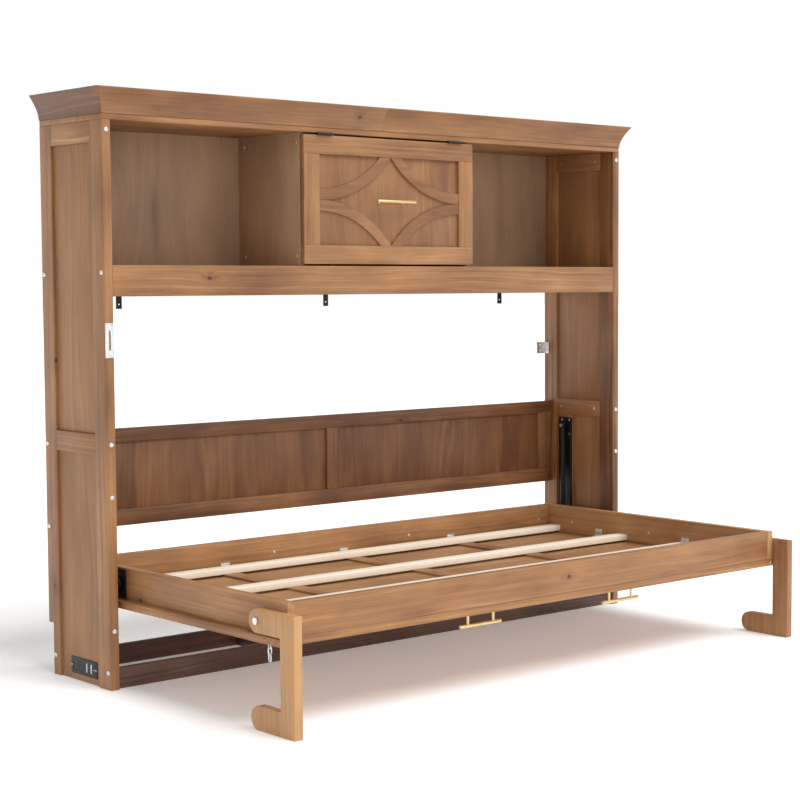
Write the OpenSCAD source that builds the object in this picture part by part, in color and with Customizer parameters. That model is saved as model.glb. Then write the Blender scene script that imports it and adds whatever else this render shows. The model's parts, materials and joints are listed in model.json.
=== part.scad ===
// Horizontal wall bed: a cabinet with an open hutch above and a bed that folds
// down sideways out of its front. Millimetres, +Z up, X along the cabinet,
// +Y towards the wall. The origin is on the floor at the centre of the footprint.

/* [Cabinet] */
// Width over the side frames
cabinet_w = 2120; // [2060:10:2200]
// Depth of the side frames
cabinet_d = 358; // [356:1:362]
// Height of the side frames, up to the top board
side_h = 1646; // [1640:1:1700]
// Thickness of the side frames
side_t = 28; // [26:1:30]
// Width of the stiles of the side frames
stile_w = 68; // [60:1:72]
// Thickness of the top board
top_t = 17; // [15:1:22]
// Height of the crown moulding
crown_h = 73; // [66:1:80]
// How far the crown stands out
crown_out = 32; // [26:1:40]

/* [Hutch] */
// Underside of the rail below the hutch
hutch_z = 1142; // [1141:1:1146]
// Height of that rail
hutch_rail_h = 90; // [80:1:94]
// Width of the middle door
door_w = 702; // [660:2:720]
// Height of the door
door_h = 402; // [396:1:403]
// Width of the door's stiles
door_stile_w = 61; // [56:1:72]
// Height of the door's rails
door_rail_w = 59; // [56:1:72]
// Width of the curved bands on the door
band_w = 34; // [28:1:38]

/* [Bed] */
// Length of the bed box over its side rails
bed_l = 1984; // [1980:1:1988]
// Height of the bed's side rails
rail_h = 93; // [86:1:94]
// Thickness of the bed's rails
rail_t = 25; // [20:1:26]
// Thickness of the panel that closes the cabinet
panel_t = 22; // [20:1:22]
// Underside of the panel when the bed is down
panel_z = 235; // [234:1:236]
// How far the front of the bed stands out of the cabinet
bed_front = 775; // [770:1:775]

/* [Hidden] */
$fn = 48;

// Finishes
walnut = "#A5795A";
walnut_dark = "#7A573F";
espresso = "#3A2723";
pine = "#EFDCC0";
brass = "#D2A95E";
zinc = "#C9CCD0";
black_steel = "#1E1E20";
plastic = "#26262A";

// Cabinet
x_out = cabinet_w / 2;
x_in = x_out - side_t;
leg_front = bed_front + 63;
centre_y = (leg_front - cabinet_d) / 2;
top_z = side_h + top_t;
rear_stile_y = cabinet_d - 66;
mid_rail_z = 683;
mid_rail_h = 60;
top_rail_z = 1584;
field_in = 8;
field_t = 12;
skirting_d = 27;
skirting_h = 155;
board_t = 18;
front_t = 20;
back_t = 8;
shelf_z = hutch_z + hutch_rail_h - board_t;
back_y = cabinet_d - back_t;
rear_rail_h = 54;
tab_t = 2;

// Crown profile, as [outward, up] from the bottom of the face
cove = [for (t = [0 : 0.1 : 1]) [2 + (crown_out - 2) * pow(t, 1.6), 4 + (crown_h - 7) * t]];
crown_profile = concat([[-18, 0], [2, 0]], cove, [[crown_out, crown_h], [-18, crown_h]]);
crown_seam = -36;

// Hutch door; the hinge line lies just in front of its top edge
door_z = hutch_z + hutch_rail_h + 6;
door_top = door_z + door_h;
door_axis = [-5, door_top + 3];
door_leaf_l = 60;
door_leaf_x = 240;
knuckle_x = [door_leaf_x, door_leaf_x + 19, door_leaf_x + 41, door_leaf_x + door_leaf_l];
knuckle_r = 3.5;
door_pin_r = 1.5;
leaf_t = 1.5;
divider_x = door_w / 2 - 7;
divider_y = front_t + 2;
door_mid = door_z + door_h / 2;
door_face = 8;
door_half_w = door_w / 2 - door_stile_w;
door_half_h = door_h / 2 - door_rail_w;
band_r = (pow(door_half_w, 2) + pow(door_half_h, 2)) / (2 * door_half_h);

// Headboard
head_z = 430;
head_h = 302;
head_y = 322;
head_rail_h = [50, 43];
head_end_w = 66;
head_stile_w = 54;

// Base frame on the floor
base_h = 62;
base_t = 18;
base_front_y = 13;
base_rear_y = 313;
base_cross_h = 45;
base_cross_x = [-400, 0, 400];

// Bed, lying open. The fold axis runs along X through [y, z].
fold = [64, 299];
bed_x = bed_l / 2;
panel_x = bed_x + 26;
panel_top = panel_z + panel_t;
bed_rear = 294;
panel_rear = 288;
panel_frame_w = 60;
panel_cross_n = 5;
panel_field_t = 9;
slat_w = 48;
slat_t = 20;
slat_y = [230, -111, -412];

// Legs
leg_t = 26;
leg_in = bed_x + 0.5;
leg_pivot = [-669, 292];
leg_arm_r = 32;
leg_post_w = 62;
leg_foot_h = 66;
leg_tip = 643;
leg_shank_r = 5;
running = 0.05;

// Gas springs: each strut runs from a stud high on its channel to a lever that
// turns on the fold pin and pushes the bed through a peg. The bed can rise a few
// degrees ahead of the levers while the legs are folded over.
strut_top = [241, 645];
lever_pin = [241, 300];
lever_half = 14;
lever_boss_r = 22;
pivot_r = 8;
stud_r = 4;
strut_x = x_in - 20;
strut_eye = [12, 8];
tube_r = 9;
rod_r = 4;
tube_run = [10, 312];
rod_start = 30;
lever_x = bed_x + 5;
lever_t = 5;
plate_t = 4;
peg_y = 170;
peg_r = 5;
peg_gap = 0.1;

// ---- helpers ----

// Everything is drawn from the cabinet's front plane and moved so that Y 0 is
// the middle of the footprint
module place() { translate([0, centre_y, 0]) children(); }

module both_ends() {
    children();
    mirror([1, 0, 0]) children();
}

module box(x0, x1, y0, y1, z0, z1) {
    translate([x0, y0, z0]) cube([x1 - x0, y1 - y0, z1 - z0]);
}

// A round bar along X
module bar_x(x0, x1, y, z, r) {
    translate([x0, y, z]) rotate([0, 90, 0]) cylinder(h = x1 - x0, r = r);
}

// A round bar along Y
module bar_y(y0, y1, x, z, r) {
    translate([x, y1, z]) rotate([90, 0, 0]) cylinder(h = y1 - y0, r = r);
}

// A plate in the Y-Z plane, drawn as an outline of [y, z] and cut along X
module slab_x(x0, x1) {
    translate([x0, 0, 0]) rotate([90, 0, 90]) linear_extrude(x1 - x0) children();
}

// ---- side frames, drawn on the right and mirrored to the left ----

module front_stile() box(x_in, x_out, 0, stile_w, 0, side_h);

module rear_stile() {
    difference() {
        box(x_in, x_out, rear_stile_y, cabinet_d, 0, side_h);
        box(x_in - 1, x_out + 1, cabinet_d - skirting_d, cabinet_d + 1, -1, skirting_h);
    }
}

module side_rails() {
    box(x_in, x_out, stile_w, rear_stile_y, top_rail_z, side_h);
    box(x_in, x_out, stile_w, rear_stile_y, mid_rail_z, mid_rail_z + mid_rail_h);
}

module side_field(z0, z1) {
    box(x_out - field_in - field_t, x_out - field_in, stile_w, rear_stile_y, z0, z1);
}

module upper_field() side_field(mid_rail_z + mid_rail_h, top_rail_z);

module lower_field() side_field(0, mid_rail_z);

module left_front_stile() place() color(walnut) mirror([1, 0, 0]) front_stile();
module left_rear_stile() place() color(walnut) mirror([1, 0, 0]) rear_stile();
module left_side_rails() place() color(walnut) mirror([1, 0, 0]) side_rails();
module left_side_panels() place() color(walnut) mirror([1, 0, 0]) {
    upper_field();
    difference() {
        lower_field();
        box(x_in, x_out, outlet_y0, outlet_y1, outlet_z0, outlet_z1);
    }
}
module right_front_stile() place() color(walnut) front_stile();
module right_rear_stile() place() color(walnut) rear_stile();
module right_side_rails() place() color(walnut) side_rails();
module right_side_panels() place() color(walnut) {
    upper_field();
    lower_field();
}

// ---- top and crown ----

module top_board() place() color(walnut) box(-x_out, x_out, 0, cabinet_d, side_h, top_z);

// One half of the front moulding, cut at 45 degrees where it meets the return
module crown_front_half(x0, x1, plan) {
    intersection() {
        translate([x0, 0, top_z]) rotate([90, 0, 90]) linear_extrude(x1 - x0)
            polygon([for (p = crown_profile) [-p[0], p[1]]]);
        translate([0, 0, top_z - 1]) linear_extrude(crown_h + 2) polygon(plan);
    }
}

module crown_front_left() place() color(walnut) crown_front_half(-x_out - crown_out, crown_seam,
    [[-x_out - crown_out, -crown_out], [crown_seam, -crown_out], [crown_seam, 18],
    [-x_out + 18, 18]]);

module crown_front_right() place() color(walnut) crown_front_half(crown_seam, x_out + crown_out,
    [[x_out + crown_out, -crown_out], [x_out - 18, 18], [crown_seam, 18],
    [crown_seam, -crown_out]]);

module crown_return() {
    intersection() {
        translate([x_out, cabinet_d, top_z]) rotate([90, 0, 0])
            linear_extrude(cabinet_d + crown_out) polygon(crown_profile);
        translate([0, 0, top_z - 1]) linear_extrude(crown_h + 2)
            polygon([[x_out + crown_out, -crown_out], [x_out + crown_out, cabinet_d],
            [x_out - 18, cabinet_d], [x_out - 18, 18]]);
    }
}

module crown_returns() place() color(walnut) both_ends() crown_return();

// ---- hutch ----

module hutch_shelf() place() color(walnut_dark)
    box(-x_in, x_in, front_t, back_y, shelf_z, shelf_z + board_t);

module hutch_front_rail() place() color(walnut)
    box(-x_in, x_in, 0, front_t, hutch_z, hutch_z + hutch_rail_h);

module hutch_rear_rail() place() color(walnut_dark)
    box(-x_in, x_in, cabinet_d - tab_t - board_t, cabinet_d - tab_t, hutch_z, hutch_z + rear_rail_h);

module hutch_back_panel() place() color(walnut_dark)
    box(-x_in, x_in, back_y, cabinet_d, hutch_z + rear_rail_h, side_h);

module divider() box(divider_x - board_t / 2, divider_x + board_t / 2, divider_y, back_y,
    shelf_z + board_t, side_h);

module right_divider() place() color(walnut_dark) divider();
module left_divider() place() color(walnut_dark) mirror([1, 0, 0]) divider();

// ---- headboard ----

head_inner = [head_z + head_rail_h[0], head_z + head_h - head_rail_h[1]];

module headboard_rails() place() color(walnut_dark) {
    box(-x_in, x_in, head_y, head_y + front_t, head_z, head_inner[0]);
    box(-x_in, x_in, head_y, head_y + front_t, head_inner[1], head_z + head_h);
}

module headboard_stiles() place() color(walnut_dark) {
    box(-head_stile_w / 2, head_stile_w / 2, head_y, head_y + front_t, head_inner[0], head_inner[1]);
    both_ends() box(x_in - head_end_w, x_in, head_y, head_y + front_t, head_inner[0], head_inner[1]);
}

module headboard_panels() place() color(walnut_dark) both_ends()
    box(head_stile_w / 2, x_in - head_end_w, head_y + 7, head_y + 16, head_inner[0], head_inner[1]);

// ---- base frame ----

module base_front_rail() place() color(espresso)
    box(-x_in, x_in, base_front_y, base_front_y + base_t, 0, base_h);

module base_rear_rail() place() color(espresso)
    box(-x_in, x_in, base_rear_y, base_rear_y + base_t, 0, base_h);

module base_cross_rails() place() color(espresso)
    for (x = base_cross_x)
        box(x - base_t / 2, x + base_t / 2, base_front_y + base_t, base_rear_y, 0, base_cross_h);

// ---- fold hardware on the cabinet ----

channel_y = [strut_top[0] - 31, strut_top[0] + 31];
channel_z = [330, 675];
channel_t = 3;
flange_out = 9;
plate_y = [20, 130];
plate_z = [240, 336];

// Battens that bring the side panel out to the face of the stiles
module hardware_battens() place() color(walnut_dark) both_ends() {
    box(x_in, x_out - field_in - field_t, stile_w, plate_y[1], plate_z[0], plate_z[1]);
    box(x_in, x_out - field_in - field_t, channel_y[0], channel_y[1], channel_z[0], mid_rail_z);
}

// Plate with the pin that the bed turns on
module pivot_plate() {
    box(x_in - plate_t, x_in, plate_y[0], plate_y[1], plate_z[0], plate_z[1]);
    bar_x(bed_x + 1, x_in - plate_t, fold[0], fold[1], pivot_r);
    for (y = [plate_y[0] + 12, plate_y[1] - 12], z = [plate_z[0] + 12, plate_z[1] - 12])
        bar_x(x_in - plate_t - 3, x_in - plate_t, y, z, 5);
}

module pivot_plates() place() color(black_steel) both_ends() pivot_plate();

// Upright channel that carries the stud at the strut's top
module spring_channel() {
    box(x_in - channel_t, x_in, channel_y[0], channel_y[1], channel_z[0], channel_z[1]);
    for (y = [channel_y[0], channel_y[1] - channel_t])
        box(x_in - flange_out, x_in - channel_t, y, y + channel_t, channel_z[0], channel_z[1]);
    bar_x(strut_x - strut_eye[1] - 1, x_in - channel_t, strut_top[0], strut_top[1], stud_r);
    for (y = [channel_y[0] + 12, channel_y[1] - 12], z = [channel_z[1] - 10, channel_z[1] - 62])
        bar_x(x_in - channel_t - 2, x_in - channel_t, y, z, 4);
}

module spring_channels() place() color(black_steel) both_ends() spring_channel();

bracket_w = 42;
bracket_z = 911;
bracket_holes = [10, 32];
bracket_hole_x = x_in - 25;
screw_hole_r = 2.75;

// Angle that fastens the rear stile to the wall
module wall_bracket() {
    difference() {
        union() {
            box(x_in - bracket_w, x_in, cabinet_d - 2.5, cabinet_d, bracket_z, bracket_z + bracket_w);
            box(x_in - 2.5, x_in, cabinet_d - 24, cabinet_d - 2.5, bracket_z, bracket_z + bracket_w);
        }
        for (z = bracket_holes)
            bar_y(cabinet_d - 4, cabinet_d + 1, bracket_hole_x, bracket_z + z, screw_hole_r);
    }
    for (z = bracket_holes)
        bar_x(x_in - 5, x_in - 2.5, cabinet_d - 13, bracket_z + z, 4.5);
}

module wall_brackets() place() color(zinc) both_ends() wall_bracket();

tab_x = [-800, 0, 800];
tab_z = [1100, 1172];
tab_hole_z = 1114;

module shelf_wall_tabs() place() color(black_steel)
    for (x = tab_x)
        difference() {
            box(x - 10, x + 10, cabinet_d - tab_t, cabinet_d, tab_z[0], tab_z[1]);
            bar_y(cabinet_d - tab_t - 1, cabinet_d + 1, x, tab_hole_z, screw_hole_r);
        }

latch_z = 966;
latch_h = 100;

// Slotted strike plate on the left stile
module latch_plate() place() color(zinc) {
    difference() {
        box(-x_out, -x_in - 1, -2, 0, latch_z, latch_z + latch_h);
        box(-x_out + 11, -x_out + 17, -3, 1, latch_z + 22, latch_z + 78);
    }
    for (z = [10, latch_h - 10]) bar_y(-3.5, -2, -x_out + 14, latch_z + z, 5);
}

outlet_y0 = 100;
outlet_y1 = 226;
outlet_z0 = 25;
outlet_z1 = 63;
outlet_face = x_out - field_in;
socket_y = [208, 172];
port_y = [148, 122];

// Where the sockets and ports pass through the plate
module outlet_cutouts(grow) {
    for (y = socket_y) box(outlet_face - 12, outlet_face + 3 + grow, y - 15, y + 15, 29, 59);
    for (y = port_y) box(outlet_face - 12, outlet_face + 3 + grow, y - 4, y + 4, 30, 58);
}

module outlet_plate() place() color(plastic) mirror([1, 0, 0]) difference() {
    union() {
        box(outlet_face, outlet_face + 3, outlet_y0 - 11, outlet_y1 + 11, 19, 69);
        box(x_in + 2, outlet_face, outlet_y0, outlet_y1, outlet_z0, outlet_z1);
    }
    outlet_cutouts(1);
}

module outlet_sockets() place() color(zinc) mirror([1, 0, 0]) outlet_cutouts(-1);

bolt_r = 7;
front_bolt_z = [173, 562, 715, 1617];
side_bolts = [[14, 51], [14, 1211], [318, 60], [344, 449], [344, 700], [344, 1206]];
// Small screws on the inside of the side frames and on the outside of the dividers
inner_screws = [[95, 1614], [269, 1614], [96, 713], [268, 713]];
divider_screws = [[37, 1263], [315, 1263], [37, 1614], [315, 1614]];
small_r = 5;

module cabinet_bolts() place() color(zinc) both_ends() {
    for (z = front_bolt_z) bar_y(-3, 0, x_out - 14, z, bolt_r);
    for (p = side_bolts) bar_x(x_out, x_out + 3, p[0], p[1], bolt_r);
    for (p = inner_screws) bar_x(x_in - 1.5, x_in, p[0], p[1], small_r);
    for (p = divider_screws)
        bar_x(divider_x + board_t / 2, divider_x + board_t / 2 + 1.5, p[0], p[1], small_r);
}

// ---- door: it lifts about the hinges at its top ----

// Leaves under the top board, with the two outer knuckles and the pin
module door_hinge_leaf() {
    box(knuckle_x[0], knuckle_x[3], 0, front_t, side_h - leaf_t, side_h);
    for (i = [0, 2]) {
        box(knuckle_x[i], knuckle_x[i + 1], door_axis[0], 0, side_h - leaf_t, side_h);
        bar_x(knuckle_x[i], knuckle_x[i + 1], door_axis[0], door_axis[1], knuckle_r);
    }
    bar_x(knuckle_x[0] + 1, knuckle_x[3] - 1, door_axis[0], door_axis[1], door_pin_r);
}

module door_hinge_leaves() place() color(black_steel) both_ends() door_hinge_leaf();

// Leaves on the door's top edge, with the middle knuckle
module door_hinge_flap() {
    difference() {
        union() {
            box(door_leaf_x, door_leaf_x + door_leaf_l, 0, front_t, door_top, door_top + leaf_t);
            box(knuckle_x[1] + 1, knuckle_x[2] - 1, door_axis[0], 0, door_top, door_top + leaf_t);
            bar_x(knuckle_x[1] + 1, knuckle_x[2] - 1, door_axis[0], door_axis[1], knuckle_r);
        }
        bar_x(knuckle_x[1], knuckle_x[2], door_axis[0], door_axis[1], door_pin_r + running);
    }
}

module door_hinge_flaps() place() color(black_steel) both_ends() door_hinge_flap();

module door_stiles() place() color(walnut) both_ends()
    box(door_half_w, door_w / 2, 0, front_t, door_mid - door_half_h, door_mid + door_half_h);

module door_rails() place() color(walnut)
    for (z = [door_z, door_top - door_rail_w])
        box(-door_w / 2, door_w / 2, 0, front_t, z, z + door_rail_w);

module door_panel() place() color(walnut)
    box(-door_half_w, door_half_w, door_face, door_face + 6, door_mid - door_half_h,
        door_mid + door_half_h);

// One curved band in the upper right quarter of the field
module door_band() {
    intersection() {
        translate([door_half_w, door_face, band_r]) rotate([90, 0, 0]) linear_extrude(6) difference() {
            circle(band_r, $fn = 180);
            circle(band_r - band_w, $fn = 180);
        }
        box(0.5, door_half_w, 0, door_face + 1, 0.5, door_half_h);
    }
}

module door_bands() place() color(walnut) translate([0, 0, door_mid]) both_ends() {
    door_band();
    mirror([0, 0, 1]) door_band();
}

pull_l = 158;
pull_post = 49;
pull_r = 5.5;
pull_out = 40;

// Bar pull along X on a face that looks towards -Y; the face is Y 0
module pull() {
    bar_x(-pull_l / 2, pull_l / 2, -pull_out + pull_r, 0, pull_r);
    for (x = [-pull_post, pull_post]) bar_y(-pull_out + pull_r, 0, x, 0, 4);
}

module door_pull() place() color(brass) translate([0, door_face, door_mid]) pull();

// ---- gas springs, one in each gap between the bed and the cabinet ----

// Tube with an eye at its top
module spring_tube() {
    difference() {
        union() {
            bar_x(-strut_eye[1], strut_eye[1], 0, 0, strut_eye[0]);
            translate([0, 0, -tube_run[1]]) cylinder(h = tube_run[1] - tube_run[0], r = tube_r);
        }
        bar_x(-strut_eye[1] - 1, strut_eye[1] + 1, 0, 0, stud_r + running);
        translate([0, 0, -tube_run[1] - 1]) cylinder(h = tube_run[1] - rod_start + 11, r = rod_r + running);
    }
}

module spring_tubes() place() color(black_steel) both_ends()
    translate([strut_x, strut_top[0], strut_top[1]]) spring_tube();

// Rod with an eye and its bolt at the lower end
module spring_rod() {
    stroke = strut_top[1] - lever_pin[1];
    translate([0, 0, strut_eye[0] - 2]) cylinder(h = stroke - rod_start - strut_eye[0] + 2, r = rod_r);
    bar_x(-strut_eye[1], strut_eye[1], 0, 0, strut_eye[0]);
    bar_x(-strut_eye[1] - 1, strut_eye[1] + 1, 0, 0, 5);
}

module spring_rods() place() color(zinc) both_ends()
    translate([strut_x, lever_pin[0], lever_pin[1]]) spring_rod();

// Lever between the strut and the bed, loose on the fold pin
module spring_lever() {
    slab_x(lever_x, lever_x + lever_t) difference() {
        union() {
            translate(fold) circle(lever_boss_r);
            translate(lever_pin) circle(lever_half);
            polygon([[fold[0], fold[1] - lever_half], [lever_pin[0], lever_pin[1] - lever_half],
                [lever_pin[0], lever_pin[1] + lever_half], [fold[0], fold[1] + lever_half]]);
        }
        translate(fold) circle(pivot_r + running);
    }
}

module spring_levers() place() color(black_steel) both_ends() spring_lever();

// ---- bed ----

module bed_side_rail() {
    difference() {
        box(bed_x - rail_t, bed_x, -bed_front, bed_rear, panel_top, panel_top + rail_h);
        bar_x(bed_x - rail_t - 1, bed_x + 1, leg_pivot[0], leg_pivot[1], leg_shank_r);
    }
}

module bed_right_rail() place() color(walnut) bed_side_rail();
module bed_left_rail() place() color(walnut) mirror([1, 0, 0]) bed_side_rail();

module bed_front_rail() place() color(walnut) box(-bed_x + rail_t, bed_x - rail_t,
    -bed_front, -bed_front + rail_t, panel_top, panel_top + rail_h);

module bed_rear_rail() place() color(walnut) box(-bed_x + rail_t, bed_x - rail_t,
    bed_rear - rail_t, bed_rear, panel_top, panel_top + rail_h);

module panel_long_rails() place() color(walnut) {
    box(-panel_x, panel_x, -bed_front, -bed_front + panel_frame_w, panel_z, panel_top);
    box(-panel_x, panel_x, panel_rear - panel_frame_w, panel_rear, panel_z, panel_top);
}

cross_pitch = (2 * panel_x - panel_frame_w) / (panel_cross_n - 1);
cross_x = [for (i = [0 : panel_cross_n - 1]) -panel_x + i * cross_pitch];
panel_inner_y = [-bed_front + panel_frame_w, panel_rear - panel_frame_w];

module panel_cross_rails() place() color(walnut)
    for (x = cross_x)
        box(x, x + panel_frame_w, panel_inner_y[0], panel_inner_y[1], panel_z, panel_top);

module panel_fields() place() color(walnut)
    for (i = [0 : panel_cross_n - 2])
        box(cross_x[i] + panel_frame_w, cross_x[i + 1], panel_inner_y[0], panel_inner_y[1],
            panel_z + 6, panel_z + 6 + panel_field_t);

module bed_slats() place() color(pine)
    for (y = slat_y)
        box(-bed_x + rail_t, bed_x - rail_t, y - slat_w / 2, y + slat_w / 2,
            panel_top, panel_top + slat_t);

panel_pull_x = 290;
panel_pull_y = -745;

module panel_pulls() place() color(brass)
    for (x = [-panel_pull_x, panel_pull_x])
        translate([x, panel_pull_y, panel_z]) rotate([90, 0, 0]) pull();

// Plate on the outside of the bed rail, with the bush that turns on the pin and
// the peg that the lever pushes
module bed_plate() {
    peg_z = fold[1] - lever_half - peg_r - peg_gap;
    difference() {
        union() {
            box(bed_x, bed_x + plate_t, 20, 192, 262, 344);
            bar_x(bed_x, bed_x + plate_t + 0.5, fold[0], fold[1], 14);
        }
        bar_x(bed_x - 1, bed_x + plate_t + 1, fold[0], fold[1], pivot_r + running);
    }
    bar_x(bed_x + plate_t, bed_x + plate_t + 5, peg_y, peg_z, peg_r);
    for (y = [34, 178], z = [274, 332]) bar_x(bed_x + plate_t, bed_x + plate_t + 0.8, y, z, 4);
}

module bed_plates() place() color(black_steel) both_ends() bed_plate();

// Shoulder bolts the legs turn on, with a nut inside the rail
module leg_bolts() place() color(zinc) both_ends() {
    bar_x(bed_x - rail_t - 6, leg_in + leg_t + 1, leg_pivot[0], leg_pivot[1], leg_shank_r);
    bar_x(leg_in + leg_t + 0.5, leg_in + leg_t + 4.5, leg_pivot[0], leg_pivot[1], 10);
    bar_x(bed_x - rail_t - 5, bed_x - rail_t, leg_pivot[0], leg_pivot[1], 10);
}

clip_x = [-480, 0, 480];
side_clip_y = 8;
clip_h = 26;
clip_w = 34;
clip_d = 14;

slat_clip_h = 16;

// One angle, its upright leg on the plane Y 0 and its foot on Z 0
module clip(h) {
    box(-clip_w / 2, clip_w / 2, -2, 0, 0, h);
    box(-clip_w / 2, clip_w / 2, -clip_d, -2, 0, 2);
    for (x = [-9, 9]) bar_y(-3, -2, x, h / 2 + 2, 3);
}

// Angles between the rails and the panel, and over the ends of the front slat
module rail_clips() place() color(zinc) {
    for (x = clip_x) translate([x, bed_rear - rail_t, panel_top]) clip(clip_h);
    both_ends() {
        translate([bed_x - rail_t, side_clip_y, panel_top]) rotate([0, 0, -90]) clip(clip_h);
        translate([bed_x - rail_t, slat_y[2], panel_top + slat_t]) rotate([0, 0, -90]) clip(slat_clip_h);
    }
}

rear_screw_x = [-915, -287, 287, 915];
side_screws = [[-239, 292], [144, 295]];
panel_screw = [983, 246];

module bed_screws() place() color(zinc) {
    for (x = rear_screw_x) bar_y(bed_rear - rail_t - 1.5, bed_rear - rail_t, x, panel_top + 42, 5);
    both_ends() {
        for (p = side_screws) bar_x(bed_x - rail_t - 1.5, bed_x - rail_t, p[0], p[1], 5);
        bar_y(-bed_front - 1.5, -bed_front, panel_screw[0], panel_screw[1], 4);
    }
}

// ---- legs ----

// C-shaped board: arm over the panel's ledge, post in front of it, foot below
module leg_outline() {
    foot_r = leg_foot_h / 2;
    difference() {
        union() {
            translate(leg_pivot) circle(leg_arm_r);
            translate([-leg_front, leg_pivot[1] - leg_arm_r])
                square([leg_front + leg_pivot[0], 2 * leg_arm_r]);
            translate([-leg_front, 0]) square([leg_post_w, leg_pivot[1] + leg_arm_r]);
            translate([-leg_front, 0]) square([leg_front - leg_tip - foot_r, leg_foot_h]);
            translate([-leg_tip - foot_r, foot_r]) circle(foot_r);
        }
        translate(leg_pivot) circle(leg_shank_r + running);
    }
}

module leg() slab_x(leg_in, leg_in + leg_t) leg_outline();

module right_leg() place() color(walnut) leg();
module left_leg() place() color(walnut) mirror([1, 0, 0]) leg();

// ---- short chain under the left front corner ----

chain_x = -bed_x - 5;
chain_y = -701;
chain_z = panel_z - 10;
eye_r = 5.3;
eye_wire_r = 1.3;
link_l = 25;
link_r = 5;
wire_r = 1.6;

module chain_eye() place() color(zinc) translate([chain_x, chain_y, chain_z]) {
    rotate([0, 90, 0]) rotate_extrude() translate([eye_r, 0]) circle(eye_wire_r, $fn = 24);
    translate([0, 0, eye_r]) cylinder(h = panel_z - chain_z - eye_r, r = eye_wire_r);
}

// One link in the X-Z plane; its top wire passes through Z 0
module chain_link() {
    run = link_l - 2 * (link_r + wire_r);
    for (s = [-1, 1]) translate([s * link_r, 0, -link_r - run]) cylinder(h = run, r = wire_r);
    translate([0, 0, -link_r]) rotate([90, 0, 0]) rotate_extrude(angle = 180)
        translate([link_r, 0]) circle(wire_r, $fn = 24);
    translate([0, 0, -link_r - run]) rotate([-90, 0, 0]) rotate_extrude(angle = 180)
        translate([link_r, 0]) circle(wire_r, $fn = 24);
}

link_pitch = link_l - 4 * wire_r - 0.4;

module leg_chain() place() color(zinc) translate([chain_x, chain_y, chain_z])
    for (i = [0 : 1]) translate([0, 0, -i * link_pitch]) rotate([0, 0, 90 * (i % 2)]) chain_link();

left_front_stile();
left_rear_stile();
left_side_rails();
left_side_panels();
right_front_stile();
right_rear_stile();
right_side_rails();
right_side_panels();
top_board();
crown_front_left();
crown_front_right();
crown_returns();
hutch_shelf();
hutch_front_rail();
hutch_rear_rail();
hutch_back_panel();
left_divider();
right_divider();
headboard_rails();
headboard_stiles();
headboard_panels();
base_front_rail();
base_rear_rail();
base_cross_rails();
hardware_battens();
pivot_plates();
spring_channels();
wall_brackets();
shelf_wall_tabs();
latch_plate();
outlet_plate();
outlet_sockets();
cabinet_bolts();
door_hinge_leaves();
door_stiles();
door_rails();
door_panel();
door_bands();
door_pull();
door_hinge_flaps();
bed_left_rail();
bed_right_rail();
bed_front_rail();
bed_rear_rail();
panel_long_rails();
panel_cross_rails();
panel_fields();
bed_slats();
panel_pulls();
bed_plates();
leg_bolts();
rail_clips();
bed_screws();
chain_eye();
left_leg();
right_leg();
spring_levers();
spring_tubes();
spring_rods();
leg_chain();
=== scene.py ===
"""Looks of a sideways wall bed with a hutch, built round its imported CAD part.

Metres, +Z up, X along the cabinet and +Y towards the wall. Every wooden board
is the CAD board with its sharp edges eased, and carries its own grain
coordinates. Plates, channels and springs are CAD shapes with eased edges.
Pulls, screws, the outlet and the chain are modelled afresh in the places of
their CAD nodes.
"""

import json
import logging
import math
import random
from dataclasses import dataclass, field
from enum import Enum
from typing import Any

import bmesh
import bpy
from mathutils import Matrix, Vector


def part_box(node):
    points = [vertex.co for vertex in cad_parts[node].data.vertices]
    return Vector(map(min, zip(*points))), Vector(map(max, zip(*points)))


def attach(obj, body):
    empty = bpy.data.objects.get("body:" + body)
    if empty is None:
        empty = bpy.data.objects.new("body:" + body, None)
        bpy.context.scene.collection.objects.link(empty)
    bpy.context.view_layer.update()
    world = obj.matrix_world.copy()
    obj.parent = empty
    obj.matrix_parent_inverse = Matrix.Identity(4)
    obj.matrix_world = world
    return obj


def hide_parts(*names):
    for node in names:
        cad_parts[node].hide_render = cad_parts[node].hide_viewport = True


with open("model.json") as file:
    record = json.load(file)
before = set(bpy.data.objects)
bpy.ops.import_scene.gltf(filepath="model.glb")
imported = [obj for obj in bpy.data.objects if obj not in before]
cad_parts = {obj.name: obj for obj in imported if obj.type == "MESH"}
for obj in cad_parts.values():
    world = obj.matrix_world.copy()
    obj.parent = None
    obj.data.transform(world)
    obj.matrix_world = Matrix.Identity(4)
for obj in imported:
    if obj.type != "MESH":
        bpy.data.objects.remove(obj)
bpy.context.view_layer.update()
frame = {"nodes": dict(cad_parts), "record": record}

log = logging.getLogger("wall_bed")
MM = 0.001
BODY_OF = {n: b for b, ns in frame["record"]["behaviour"]["bodies"].items() for n in ns}
Socket = bpy.types.NodeSocket
Material = bpy.types.Material
Piece = bpy.types.Object


# ---- nodes and colours ----


def linear(hex_colour: str) -> tuple[float, float, float, float]:
    """Turns an sRGB hex value into a linear colour.

    Args:
        hex_colour: Six hex digits after a hash sign.

    Returns:
        Red, green, blue and an alpha of one.
    """
    parts = [int(hex_colour[i : i + 2], 16) / 255 for i in (1, 3, 5)]
    rgb = [c / 12.92 if c <= 0.04045 else ((c + 0.055) / 1.055) ** 2.4 for c in parts]
    return (rgb[0], rgb[1], rgb[2], 1.0)


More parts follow.
